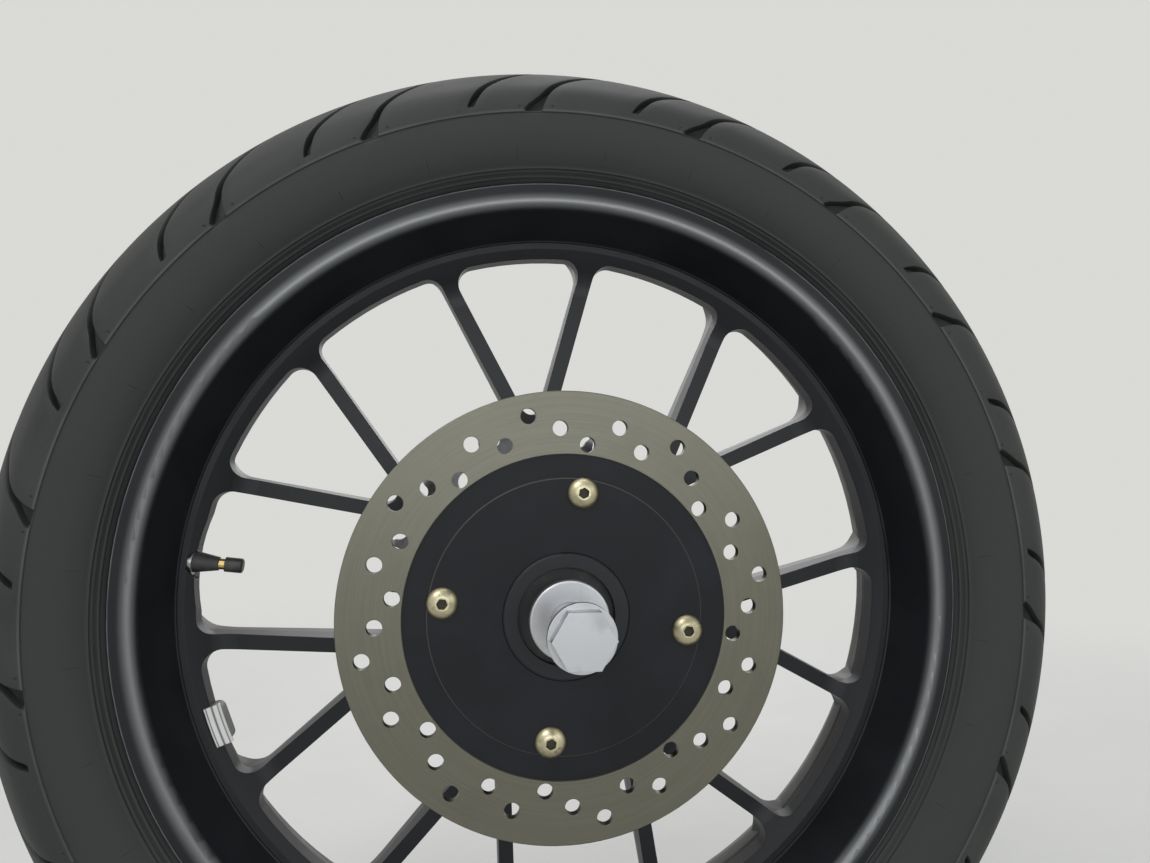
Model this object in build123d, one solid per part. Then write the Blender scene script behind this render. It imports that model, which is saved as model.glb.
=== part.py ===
"""Rear wheel of a retro motorcycle, with its tyre, brake disc, chain sprocket and axle.

Millimetres. X points forward, Y to the left along the axle, Z up. The origin is on the axle's
axis, on the outer face of the right collar, where the machine's frame clamps the wheel.
Every section is drawn as (distance from the axle, place along the axle), and the place along
the axle is counted from the wheel's middle plane, positive to the left.
"""
import math
import os

from build123d import *

# Tyre, 130 wide, 70 per cent high, on an 18 inch rim
SEAT_RADIUS = 228.6
TYRE_WIDTH = 130.0
TYRE_HEIGHT = 91.0
TREAD_HALF_WIDTH = 62.0
SHOULDER_DROP = 26.6
TREAD_THICKNESS = 12.0
SIDEWALL = 7.0
BEAD_WIDTH = 14.0
BEAD_CLEARANCE = 0.1
BEAD_LIFT = 0.5
BEAD_OVERHANG = 4.5
HEEL_CUT = 3.0

# Rim
RIM_WIDTH = 88.9
FLANGE_HEIGHT = 14.0
FLANGE_THICKNESS = 7.0
FLANGE_CORNER = 7.0
CONE_LIFT = 0.4
RIM_WALL = 5.0
WELL_DEPTH = 13.6
WELL_HALF_WIDTH = 12.0
WELL_CORNER = 5.0
WELL_SLOPE = 18.0
HUMP_PLACE = 29.0
HUMP_HEIGHT = 2.4
RIDGE_DEPTH = 13.6
RIDGE_PLACE = 23.0

# Seven Y spokes, cast with the rim and the hub
Y_COUNT = 7
Y_TURN = 18.9
FORK_RADIUS = 88.0
ARM_WIDTH = 10.0
STEM_WIDTH = 20.0
SPOKE_FRONT = -11.0
SPOKE_BACK = 9.0
FOOT_DEPTH = 10.5
FOOT_OVERLAP = 1.0
FOOT_LENGTH = 12.0
FOOT_SWEEP = 25.0
ROOT_DEPTH = 9.0
ROOT_SWEEP = 12.0
SPOKE_DRAFT = 3.0
RIB_HEIGHT = 5.5
RIB_BACK = -8.0
FOOT_ROUNDING = 9.0
FORK_ROUNDING = 6.0

# Hub
HUB_RADIUS = 66.0
HUB_WAIST = 40.0
HUB_SWEEP = 14.0
HUB_FLARE = 8.0
DRUM_RADIUS = 79.0
DRUM_WALL = 9.0
DRUM_END = 58.0
DRUM_DEPTH = 30.0
HUB_BORE = 22.0
DISC_FLANGE_RADIUS = 77.0
DISC_FLANGE = 10.0
NOSE_RADIUS = 34.0
NOSE_LENGTH = 6.0

# Brake disc, drilled in groups of five
DISC_RADIUS = 120.0
DISC_THICKNESS = 5.0
DISC_FACE = -86.0
BAND_INNER_RADIUS = 86.3
CENTRE_RECESS = 0.8
PAD_RADIUS = 73.0
DISC_HOLE_RADIUS = 4.2
DISC_GROUPS = 8
HOLE_RADII = (96.0, 104.2, 91.8, 100.0, 108.2)
HOLE_TURN = 20.0
DISC_BOLT_CIRCLE = 66.0
DISC_BOLT_COUNT = 4
DISC_BOLT_TURN = 82.5
DISC_BOLT_RADIUS = 4.0
DISC_BOLT_HEAD_RADIUS = 8.2
DISC_BOLT_HEAD = 4.6
DISC_BOLT_RIM = 1.2
DISC_BOLT_FLAT = 3.6
DISC_BOLT_SOCKET = 5.2

# Chain sprocket and the carrier that drives the hub
CHAIN_PITCH = 15.875
CHAIN_ROLLER_RADIUS = 5.08
TEETH = 40
SPROCKET_THICKNESS = 7.4
CHAIN_LINE = 85.0
SPIGOT_RADIUS = 44.0
SPIGOT_LENGTH = 5.0
STUD_CIRCLE = 60.0
STUD_COUNT = 5
STUD_RADIUS = 5.0
STUD_NUT_WIDTH = 17.0
STUD_NUT_HEIGHT = 9.0
STUD_TIP = 4.0
STUD_DEPTH = 14.0
CARRIER_RADIUS = 74.0
CARRIER_RIM = 8.0
CARRIER_STEP = 6.0
CARRIER_FLOOR_GAP = 12.0
CARRIER_CORNER = 3.0
TOOTH_GAP_CLEARANCE = 0.1
TOOTH_ROOT_DEPTH = 2.0
TOOTH_POINT = 1.1
LIGHTENING_RADIUS = 7.5
LIGHTENING_CIRCLE = 82.0
LIGHTENING_COUNT = 10

# Axle, bearings, seals and collars
AXLE_RADIUS = 10.0
AXLE_HEAD_WIDTH = 27.0
AXLE_HEAD = 11.0
AXLE_NUT_WIDTH = 27.0
AXLE_NUT = 14.0
AXLE_FLANGE_RADIUS = 16.75
AXLE_FLANGE = 3.0
AXLE_TIP = 9.0
WASHER_RADIUS = 20.0
WASHER = 3.0
BEARING_RADIUS = 26.0
BEARING_WIDTH = 15.0
INNER_RING_RADIUS = 14.5
COLLAR_RADIUS = 15.0
COLLAR_FLANGE_RADIUS = 21.0
COLLAR_FLANGE = 5.0
SEAL = 5.0
RUNNING_CLEARANCE = 0.05
SEAL_CLEARANCE = 0.1
SLIDE_CLEARANCE = 0.02
SEAT_CLEARANCE = 0.3
RIGHT_FACE = -100.0
LEFT_FACE = 112.0
RIGHT_GRIP = 40.0
LEFT_GRIP = 28.0

# Valve and balance weight
VALVE_TURN = -6.5
VALVE_PLACE = -12.0
VALVE_RADIUS = 5.5
VALVE_HEAD_RADIUS = 8.5
VALVE_HEAD = 3.0
VALVE_POCKET = 1.5
VALVE_POCKET_RADIUS = 10.0
VALVE_COLLAR_RADIUS = 8.0
VALVE_COLLAR = 2.5
VALVE_TAPER_RADIUS = 6.3
VALVE_TIP_RADIUS = 3.9
VALVE_LENGTH = 16.0
VALVE_NECK_RADIUS = 3.2
VALVE_NECK = 3.5
VALVE_CAP_RADIUS = 4.3
VALVE_CAP = 10.0
RELIEF_DEPTH = 2.5
RELIEF_SWEEP = 100.0
RELIEF_LENGTH = 60.0
WEIGHT_TURN = 19.7
WEIGHT_LENGTH = 23.0
WEIGHT_BODY = 4.9
WEIGHT_OVERLAP = 3.7
WEIGHT_CLIP = 2.2
WEIGHT_RIDGE = 1.1
WEIGHT_RIDGE_PLACES = (-3.1, 1.4)
WEIGHT_CORNER = 4.0
WEIGHT_CLEARANCE = 0.05

# Worked out from the sizes above
TYRE_RADIUS = SEAT_RADIUS + TYRE_HEIGHT
SHOULDER_RADIUS = TYRE_RADIUS - SHOULDER_DROP
FLANGE_RADIUS = SEAT_RADIUS + FLANGE_HEIGHT
RIM_HALF = RIM_WIDTH / 2
WELL_RADIUS = SEAT_RADIUS - WELL_DEPTH
WELL_UNDER = WELL_RADIUS - RIM_WALL
RIDGE_RADIUS = SEAT_RADIUS - RIDGE_DEPTH
WINDOW_RADIUS = WELL_UNDER - RIB_HEIGHT
FOOT_START = WINDOW_RADIUS - FOOT_LENGTH
FOOT_END = WELL_UNDER + FOOT_OVERLAP
VALVE_SEAT = WELL_UNDER + VALVE_POCKET
WEIGHT_BODY_RADIUS = WINDOW_RADIUS - WEIGHT_BODY
WEIGHT_CLIP_RADIUS = WINDOW_RADIUS + WEIGHT_OVERLAP
SPOKE_MIDDLE = (SPOKE_FRONT + SPOKE_BACK) / 2
Y_STEP = 360 / Y_COUNT
DISC_SEAT = DISC_FACE + DISC_THICKNESS
SPROCKET_SEAT = CHAIN_LINE - SPROCKET_THICKNESS / 2
RIGHT_BEARING = DISC_SEAT + SEAL + 1.0
LEFT_BEARING = SPROCKET_SEAT - 1.0
PITCH_RADIUS = CHAIN_PITCH / 2 / math.sin(math.pi / TEETH)


def section(corners):
    """Flat face from corners (radius, place along the axle, rounding of that corner)."""
    face = make_face(Polyline(*[(r, y) for r, y, _ in corners], close=True))
    for r, y, rounding in corners:
        if rounding:
            corner = face.vertices().sort_by_distance((r, y, 0))[0]
            face = fillet(corner, rounding)
    return face


def turned(corners):
    """Solid turned about the axle from the corners of its section."""
    return revolve(section(corners), axis=Axis.Y)


def ring(outer, inner, low, high):
    """Plain ring about the axle from low to high."""
    return turned([(inner, low, 0), (outer, low, 0), (outer, high, 0), (inner, high, 0)])


def at_turn(turn):
    """Place on the axle, turned so that local +X points at the clock angle turn.

    The angle starts at the rear, level with the axle, and grows downwards at the rear.
    """
    return Rot(0, 180 - turn, 0)


def bar(radius, low, high, turn=0.0, circle=0.0):
    """Round bar parallel to the axle, on a circle about it, from low to high."""
    blank = Pos(circle, (low + high) / 2, 0) * Rot(90, 0, 0) * Cylinder(radius, high - low)
    return at_turn(turn) * blank


def hexagon_bar(width, low, high, turn=0.0, circle=0.0):
    """Hexagon bar parallel to the axle, width across its flats, from low to high."""
    flat = RegularPolygon(width / 2, 6, major_radius=False)
    blank = Pos(circle, high, 0) * Rot(90, 0, 0) * extrude(flat, high - low)
    return at_turn(turn) * blank


def tyre():
    """Hollow tyre: round crown, bulging sides, and beads in the rim's flanges."""
    heel = RIM_HALF - BEAD_CLEARANCE
    seat = SEAT_RADIUS + BEAD_CLEARANCE
    toe = heel - BEAD_WIDTH
    lip = FLANGE_RADIUS + BEAD_LIFT
    side = TYRE_WIDTH / 2
    side_radius = (lip + SHOULDER_RADIUS) / 2 + 4.0
    inner_side = side - SIDEWALL
    crown = ThreePointArc(
        (SHOULDER_RADIUS, -TREAD_HALF_WIDTH), (TYRE_RADIUS, 0), (SHOULDER_RADIUS, TREAD_HALF_WIDTH)
    )
    wall_foot = (lip, heel + BEAD_OVERHANG)
    under_shoulder = (SHOULDER_RADIUS - TREAD_THICKNESS, TREAD_HALF_WIDTH - SIDEWALL)
    bead_top = (lip, toe + 3.0)
    half = [
        ThreePointArc((SHOULDER_RADIUS, TREAD_HALF_WIDTH), (side_radius, side), wall_foot),
        Polyline(
            wall_foot, (lip, heel), (seat + HEEL_CUT, heel), (seat, heel - HEEL_CUT), (seat, toe), bead_top
        ),
        ThreePointArc(bead_top, (side_radius - 2.0, inner_side), under_shoulder),
    ]
    liner = ThreePointArc(
        under_shoulder,
        (TYRE_RADIUS - TREAD_THICKNESS, 0),
        (under_shoulder[0], -under_shoulder[1]),
    )
    other = [mirror(line, about=Plane.XZ) for line in half]
    return revolve(make_face(Curve() + [crown, liner] + half + other), axis=Axis.Y)


def rim():
    """Drop centre rim: flanges, bead seats, well, and the ridge inside each wall."""
    outside = RIM_HALF + FLANGE_THICKNESS
    half = [
        (WELL_RADIUS, WELL_HALF_WIDTH, 0),
        (SEAT_RADIUS - HUMP_HEIGHT, HUMP_PLACE - 2.0, 0),
        (SEAT_RADIUS, HUMP_PLACE, 0),
        (SEAT_RADIUS, RIM_HALF, 0),
        (FLANGE_RADIUS, RIM_HALF + 1.0, 0),
        (FLANGE_RADIUS, outside - 1.5, 1.2),
        (SEAT_RADIUS + CONE_LIFT, outside, FLANGE_CORNER),
        (RIDGE_RADIUS, RIDGE_PLACE, 0),
        (WELL_UNDER, RIDGE_PLACE - WELL_SLOPE, WELL_CORNER),
    ]
    other = [(r, -y, rounding) for r, y, rounding in reversed(half)]
    return turned(half + other)


def spoke_disc():
    """Disc that the windows turn into spokes: thin at mid length, deeper at hub and rim.

    Its outer end follows the rim's underside, and lies FOOT_OVERLAP inside the rim's wall.
    """
    flat = RIDGE_PLACE - WELL_SLOPE
    slope = (RIDGE_RADIUS - WELL_UNDER) / WELL_SLOPE
    front, back = SPOKE_FRONT - FOOT_DEPTH, SPOKE_BACK + FOOT_DEPTH
    return turned([
        (HUB_WAIST, SPOKE_FRONT - ROOT_DEPTH, 0),
        (HUB_RADIUS, SPOKE_FRONT - ROOT_DEPTH, ROOT_SWEEP),
        (FOOT_START, SPOKE_FRONT, FOOT_SWEEP),
        (FOOT_END, front, 0),
        (FOOT_END + slope * (abs(front) - flat), front, 0),
        (FOOT_END, -flat, 0),
        (FOOT_END, flat, 0),
        (FOOT_END + slope * (back - flat), back, 0),
        (FOOT_END, back, 0),
        (FOOT_START, SPOKE_BACK, FOOT_SWEEP),
        (HUB_RADIUS, SPOKE_BACK + ROOT_DEPTH, ROOT_SWEEP),
        (HUB_WAIST, SPOKE_BACK + ROOT_DEPTH, 0),
    ])


def crossing(point, direction, radius):
    """Where a line from point, in direction, leaves the circle of that radius."""
    along = point[0] * direction[0] + point[1] * direction[1]
    reach = math.sqrt(along**2 - point[0] ** 2 - point[1] ** 2 + radius**2)
    return point[0] + (reach - along) * direction[0], point[1] + (reach - along) * direction[1]


def window(corners, hub_radius=0.0):
    """Window blank from its half outline: straight sides, a round rim end, and a hub end.

    corners are (distance along the window's axis, distance beside it, rounding), rim end first.
    """
    far = corners[0]
    lines = [ThreePointArc((far[0], -far[1]), (math.hypot(*far[:2]), 0), far[:2])]
    for (a, b, _), (c, d, _) in zip(corners, corners[1:]):
        lines += [Line((a, b), (c, d))] + [Line((a, -b), (c, -d))]
    near = corners[-1]
    if hub_radius:
        lines += [ThreePointArc((near[0], -near[1]), (hub_radius, 0), near[:2])]
    face = make_face(Curve() + lines)
    for a, b, rounding in corners:
        for side in {b, -b}:
            corner = face.vertices().sort_by_distance((a, side, 0))[0]
            face = fillet(corner, rounding)
    reach = max(abs(SPOKE_FRONT), SPOKE_BACK) + ROOT_DEPTH + FOOT_DEPTH
    cut = Rot(90, 0, 0) * extrude(face, reach, both=True, taper=-SPOKE_DRAFT)
    return Pos(0, SPOKE_MIDDLE, 0) * cut


def windows(rim_radius, rounding):
    """The fourteen windows: one inside each Y, and one between each Y and the next."""
    half_step = math.radians(Y_STEP / 4)
    end = (WELL_UNDER * math.cos(half_step), WELL_UNDER * math.sin(half_step))
    lean = math.atan2(end[1], end[0] - FORK_RADIUS)
    direction = (math.cos(lean), math.sin(lean))
    half_arm = ARM_WIDTH / 2
    tip = (FORK_RADIUS + half_arm / math.sin(lean), 0.0)
    inside = window([
        (*crossing(tip, direction, rim_radius), rounding),
        (*tip, FORK_ROUNDING),
    ])

    # the outer edge of an arm, and the side of its stem, seen from the axis of the wide window
    turn = math.radians(Y_STEP / 2)
    waist = (STEM_WIDTH / 2 - half_arm / math.cos(lean)) / math.tan(lean)
    elbow = (FORK_RADIUS + waist, STEM_WIDTH / 2)
    root = (math.sqrt(HUB_RADIUS**2 - elbow[1] ** 2), elbow[1])

    def seen(point):
        x, y = point
        return (
            x * math.cos(turn) + y * math.sin(turn),
            x * math.sin(turn) - y * math.cos(turn),
        )

    elbow_seen, root_seen = seen(elbow), seen(root)
    away = (math.cos(turn - lean), math.sin(turn - lean))
    between = window([
        (*crossing(elbow_seen, away, rim_radius), rounding),
        (*elbow_seen, 3 * FORK_ROUNDING),
        (*root_seen, FORK_ROUNDING),
    ], HUB_RADIUS)
    cuts = []
    for k in range(Y_COUNT):
        cuts += [at_turn(Y_TURN + k * Y_STEP) * inside]
        cuts += [at_turn(Y_TURN + (k + 0.5) * Y_STEP) * between]
    return cuts


def hub():
    """Hub: disc flange and nose on the right, waist, and the open drum on the left."""
    floor = DRUM_END - DRUM_DEPTH
    return turned([
        (HUB_BORE, RIGHT_BEARING + BEARING_WIDTH, 0),
        (BEARING_RADIUS, RIGHT_BEARING + BEARING_WIDTH, 0),
        (BEARING_RADIUS, DISC_SEAT - NOSE_LENGTH, 0),
        (NOSE_RADIUS, DISC_SEAT - NOSE_LENGTH, 1.5),
        (NOSE_RADIUS, DISC_SEAT, 0),
        (DISC_FLANGE_RADIUS, DISC_SEAT, 0),
        (DISC_FLANGE_RADIUS, DISC_SEAT + DISC_FLANGE, 2.5),
        (HUB_WAIST, DISC_SEAT + DISC_FLANGE + HUB_FLARE, HUB_SWEEP),
        (HUB_WAIST, SPOKE_FRONT - ROOT_DEPTH - HUB_FLARE, HUB_SWEEP),
        (HUB_RADIUS, SPOKE_FRONT - ROOT_DEPTH + HUB_FLARE / 2, 0),
        (HUB_RADIUS, SPOKE_BACK + ROOT_DEPTH - HUB_FLARE / 2, 0),
        (DRUM_RADIUS, floor - DRUM_WALL + 2.0, 3.0),
        (DRUM_RADIUS, DRUM_END, 1.5),
        (DRUM_RADIUS - DRUM_WALL, DRUM_END, 0),
        (DRUM_RADIUS - DRUM_WALL, floor, 0),
        (HUB_BORE, floor, 0),
    ])


def cast_wheel():
    """Rim, seven Y spokes and hub as one casting, with its tapped and drilled holes.

    The rib under the well is as deep as RIB_BACK says, so behind it the windows reach the well.
    """
    half = 2 * FOOT_DEPTH + SPOKE_BACK
    behind = Pos(0, RIB_BACK + half, 0) * Box(2 * FLANGE_RADIUS, 2 * half, 2 * FLANGE_RADIUS)
    spider = spoke_disc() - windows(WINDOW_RADIUS, FOOT_ROUNDING)
    spider -= [cut & behind for cut in windows(RIDGE_RADIUS + FOOT_OVERLAP, 2 * FOOT_ROUNDING)]
    body = rim() + spider + hub()
    blind = DISC_SEAT + DISC_FLANGE - 1.5
    for k in range(DISC_BOLT_COUNT):
        turn = DISC_BOLT_TURN + k * 360 / DISC_BOLT_COUNT
        body -= bar(DISC_BOLT_RADIUS, DISC_SEAT - 1.0, blind, turn, DISC_BOLT_CIRCLE)
    relief = Rot(90, 0, 0) * Cylinder(RELIEF_SWEEP, 2 * half)
    relief = Pos(WINDOW_RADIUS + RELIEF_DEPTH - RELIEF_SWEEP, 0, 0) * relief
    relief &= Pos(WINDOW_RADIUS, 0, 0) * Box(2 * RIB_HEIGHT, 2 * half, RELIEF_LENGTH)
    pocket_mouth = WINDOW_RADIUS - RIB_HEIGHT
    head_room = VALVE_HEAD_RADIUS + SEAT_CLEARANCE
    return body - [
        at_turn(VALVE_TURN) * relief,
        on_valve([
            (0, pocket_mouth, 0),
            (VALVE_POCKET_RADIUS, pocket_mouth, 0),
            (VALVE_POCKET_RADIUS, VALVE_SEAT, 0),
            (0, VALVE_SEAT, 0),
        ]),
        on_valve([
            (0, VALVE_SEAT - 1.0, 0),
            (VALVE_RADIUS, VALVE_SEAT - 1.0, 0),
            (VALVE_RADIUS, WELL_RADIUS, 0),
            (head_room, WELL_RADIUS, 0),
            (head_room, SEAT_RADIUS, 0),
            (0, SEAT_RADIUS, 0),
        ]),
    ]


def brake_disc():
    """One-piece disc: drilled friction band, recessed centre and a thick bolting pad."""
    disc = turned([
        (NOSE_RADIUS + SLIDE_CLEARANCE, DISC_FACE, 0),
        (PAD_RADIUS, DISC_FACE, 0.5),
        (PAD_RADIUS + CENTRE_RECESS, DISC_FACE + CENTRE_RECESS, 0),
        (BAND_INNER_RADIUS, DISC_FACE + CENTRE_RECESS, 0),
        (BAND_INNER_RADIUS, DISC_FACE, 0),
        (DISC_RADIUS, DISC_FACE, 0.4),
        (DISC_RADIUS, DISC_SEAT, 0.4),
        (NOSE_RADIUS + SLIDE_CLEARANCE, DISC_SEAT, 0),
    ])
    low, high = DISC_FACE - 1.0, DISC_SEAT + 1.0
    count = DISC_GROUPS * len(HOLE_RADII)
    holes = [
        bar(DISC_HOLE_RADIUS, low, high, HOLE_TURN + k * 360 / count, HOLE_RADII[k % len(HOLE_RADII)])
        for k in range(count)
    ]
    holes += [
        bar(DISC_BOLT_RADIUS + SEAT_CLEARANCE, low, high, DISC_BOLT_TURN + k * 360 / DISC_BOLT_COUNT,
            DISC_BOLT_CIRCLE)
        for k in range(DISC_BOLT_COUNT)
    ]
    return disc - holes


def disc_bolt(turn):
    """Button head bolt with a hexagon socket that clamps the disc to the hub."""
    top = DISC_FACE - DISC_BOLT_HEAD
    edge = DISC_FACE - DISC_BOLT_RIM
    shank_end = DISC_SEAT + DISC_FLANGE - 3.0
    shank = DISC_BOLT_RADIUS - SLIDE_CLEARANCE
    bulge = ((DISC_BOLT_HEAD_RADIUS + DISC_BOLT_FLAT) / 2 + 0.3, (top + edge) / 2 - 0.6)
    half = make_face(
        Polyline(
            (0, shank_end), (shank, shank_end), (shank, DISC_FACE),
            (DISC_BOLT_HEAD_RADIUS, DISC_FACE), (DISC_BOLT_HEAD_RADIUS, edge),
        )
        + ThreePointArc((DISC_BOLT_HEAD_RADIUS, edge), bulge, (DISC_BOLT_FLAT, top))
        + Polyline((DISC_BOLT_FLAT, top), (0, top), (0, shank_end))
    )
    socket = hexagon_bar(DISC_BOLT_SOCKET, top - 1.0, top + DISC_BOLT_SOCKET / 2)
    return at_turn(turn) * Pos(DISC_BOLT_CIRCLE, 0, 0) * (revolve(half, axis=Axis.Y) - socket)


def carrier():
    """Sprocket carrier: plug in the hub's drum, flange, seat and spigot for the sprocket."""
    plug = DRUM_RADIUS - DRUM_WALL - SEAT_CLEARANCE
    lip = DRUM_END + SEAT_CLEARANCE
    inner = DRUM_END - DRUM_DEPTH + CARRIER_FLOOR_GAP
    body = turned([
        (HUB_BORE, inner, 0),
        (plug, inner, 0),
        (plug, lip, 0),
        (DRUM_RADIUS, lip, 1.0),
        (DRUM_RADIUS, lip + CARRIER_RIM, CARRIER_CORNER),
        (CARRIER_RADIUS - CARRIER_STEP, lip + CARRIER_RIM + CARRIER_STEP, CARRIER_CORNER),
        (CARRIER_RADIUS, SPROCKET_SEAT, 1.0),
        (SPIGOT_RADIUS, SPROCKET_SEAT, 0),
        (SPIGOT_RADIUS, SPROCKET_SEAT + SPIGOT_LENGTH, 1.0),
        (BEARING_RADIUS, SPROCKET_SEAT + SPIGOT_LENGTH, 0),
        (BEARING_RADIUS, LEFT_BEARING - BEARING_WIDTH, 0),
        (HUB_BORE, LEFT_BEARING - BEARING_WIDTH, 0),
    ])
    low = SPROCKET_SEAT - STUD_DEPTH - 2.0
    for k in range(STUD_COUNT):
        body -= bar(STUD_RADIUS, low, SPROCKET_SEAT + 1.0, k * 360 / STUD_COUNT, STUD_CIRCLE)
    return body


def sprocket():
    """Chain sprocket: round gaps between pointed teeth, stud holes and lightening holes."""
    step = math.pi / TEETH
    gap = CHAIN_ROLLER_RADIUS + TOOTH_GAP_CLEARANCE
    tip_radius = PITCH_RADIUS + CHAIN_ROLLER_RADIUS
    low, high = SPROCKET_SEAT, SPROCKET_SEAT + SPROCKET_THICKNESS
    blank = turned([
        (SPIGOT_RADIUS + SLIDE_CLEARANCE, low, 0),
        (PITCH_RADIUS - TOOTH_ROOT_DEPTH, low, 0),
        (tip_radius, low + SPROCKET_THICKNESS / 3, 0),
        (tip_radius, high - SPROCKET_THICKNESS / 3, 0),
        (PITCH_RADIUS - TOOTH_ROOT_DEPTH, high, 0),
        (SPIGOT_RADIUS + SLIDE_CLEARANCE, high, 0),
    ])
    flank = (tip_radius + 1.5, (tip_radius + 1.5) * math.tan(step) - TOOTH_POINT)
    seat = (PITCH_RADIUS, gap)
    notch = make_face(
        ThreePointArc((seat[0], -seat[1]), (PITCH_RADIUS - gap, 0), seat)
        + Polyline(seat, flank, (flank[0], -flank[1]), (seat[0], -seat[1]))
    )
    cut = Pos(0, high + 1.0, 0) * Rot(90, 0, 0) * extrude(notch, SPROCKET_THICKNESS + 2.0)
    cuts = [at_turn(k * 360 / TEETH) * cut for k in range(TEETH)]
    for k in range(STUD_COUNT):
        cuts += [bar(STUD_RADIUS + SEAT_CLEARANCE, low - 1, high + 1, k * 360 / STUD_COUNT, STUD_CIRCLE)]
    for k in range(LIGHTENING_COUNT):
        turn = (k + 0.5) * 360 / LIGHTENING_COUNT
        cuts += [bar(LIGHTENING_RADIUS, low - 1, high + 1, turn, LIGHTENING_CIRCLE)]
    return blank - cuts


def sprocket_stud(turn):
    """Stud in the carrier that holds the sprocket."""
    tip = SPROCKET_SEAT + SPROCKET_THICKNESS + STUD_NUT_HEIGHT + STUD_TIP
    return bar(STUD_RADIUS - SLIDE_CLEARANCE, SPROCKET_SEAT - STUD_DEPTH, tip, turn, STUD_CIRCLE)


def sprocket_nut(turn):
    """Hexagon nut on a stud, seated on the sprocket."""
    low = SPROCKET_SEAT + SPROCKET_THICKNESS
    high = low + STUD_NUT_HEIGHT
    blank = hexagon_bar(STUD_NUT_WIDTH, low, high, turn, STUD_CIRCLE)
    return blank - bar(STUD_RADIUS, low - 1.0, high + 1.0, turn, STUD_CIRCLE)


def bearing_outer(low):
    """Outer ring of a shielded bearing, closed down to the inner ring's shoulder."""
    return ring(BEARING_RADIUS, INNER_RING_RADIUS + RUNNING_CLEARANCE, low, low + BEARING_WIDTH)


def bearing_inner(low):
    """Inner ring of a bearing, which the axle and the collars hold still."""
    return ring(INNER_RING_RADIUS, AXLE_RADIUS + SLIDE_CLEARANCE, low, low + BEARING_WIDTH)


def seal(low):
    """Dust seal pressed into the hub, its lip just clear of the collar."""
    return ring(BEARING_RADIUS, COLLAR_RADIUS + SEAL_CLEARANCE, low, low + SEAL)


def collar(near, far):
    """Collar from a bearing's face (near) to the face that the frame clamps (far)."""
    way = 1 if far > near else -1
    return turned([
        (AXLE_RADIUS + SLIDE_CLEARANCE, near, 0),
        (COLLAR_RADIUS, near, 0),
        (COLLAR_RADIUS, far - way * COLLAR_FLANGE, 1.5),
        (COLLAR_FLANGE_RADIUS, far - way * COLLAR_FLANGE, 0),
        (COLLAR_FLANGE_RADIUS, far, 1.0),
        (AXLE_RADIUS + SLIDE_CLEARANCE, far, 0),
    ])


def axle():
    """Axle shaft with a hexagon head on the right and a plain end on the left."""
    head = RIGHT_FACE - RIGHT_GRIP
    end = LEFT_FACE + LEFT_GRIP + WASHER + AXLE_NUT + AXLE_TIP
    shaft = turned([
        (0, head, 0), (AXLE_RADIUS, head, 0), (AXLE_RADIUS, end, 1.5), (0, end, 0),
    ])
    flange = bar(AXLE_FLANGE_RADIUS, head - AXLE_FLANGE, head)
    return shaft + flange + hexagon_bar(AXLE_HEAD_WIDTH, head - AXLE_HEAD, head - AXLE_FLANGE / 2)


def axle_nut():
    """Hexagon nut with a round flange that clamps the axle on the left."""
    low = LEFT_FACE + LEFT_GRIP + WASHER
    nut = hexagon_bar(AXLE_NUT_WIDTH, low, low + AXLE_NUT)
    nut += bar(AXLE_FLANGE_RADIUS, low, low + AXLE_FLANGE)
    return nut - bar(AXLE_RADIUS + SLIDE_CLEARANCE, low - 1.0, low + AXLE_NUT + 1.0)


def axle_washer():
    """Washer under the axle nut."""
    low = LEFT_FACE + LEFT_GRIP
    return ring(WASHER_RADIUS, AXLE_RADIUS + SLIDE_CLEARANCE, low, low + WASHER)


def on_valve(profile):
    """Solid turned about the valve's axis, from (distance from it, distance from the axle)."""
    solid = revolve(section(profile), axis=Axis.Y)
    return at_turn(VALVE_TURN) * Pos(0, VALVE_PLACE, 0) * Rot(0, 0, -90) * solid


def valve_stem():
    """Valve body: head inside the well, neck in the hole, collar in its pocket, rubber taper."""
    neck = VALVE_RADIUS - SLIDE_CLEARANCE
    collar_end = VALVE_SEAT - VALVE_COLLAR
    tip = VALVE_SEAT - VALVE_LENGTH
    return on_valve([
        (0, WELL_RADIUS + VALVE_HEAD, 0),
        (VALVE_HEAD_RADIUS, WELL_RADIUS + VALVE_HEAD, 0),
        (VALVE_HEAD_RADIUS, WELL_RADIUS, 0),
        (neck, WELL_RADIUS, 0),
        (neck, VALVE_SEAT, 0),
        (VALVE_COLLAR_RADIUS, VALVE_SEAT, 0),
        (VALVE_COLLAR_RADIUS, collar_end, 0.8),
        (VALVE_TAPER_RADIUS, collar_end, 0),
        (VALVE_TIP_RADIUS, tip, 0),
        (0, tip, 0),
    ])


def valve_neck():
    """Brass neck of the valve."""
    top = VALVE_SEAT - VALVE_LENGTH
    end = top - VALVE_NECK
    return on_valve([(0, top, 0), (VALVE_NECK_RADIUS, top, 0), (VALVE_NECK_RADIUS, end, 0), (0, end, 0)])


def valve_cap():
    """Cap screwed on the valve's neck."""
    top = VALVE_SEAT - VALVE_LENGTH - VALVE_NECK
    end = top - VALVE_CAP
    return on_valve([(0, top, 0), (VALVE_CAP_RADIUS, top, 0), (VALVE_CAP_RADIUS, end, 1.2), (0, end, 0)])


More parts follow.
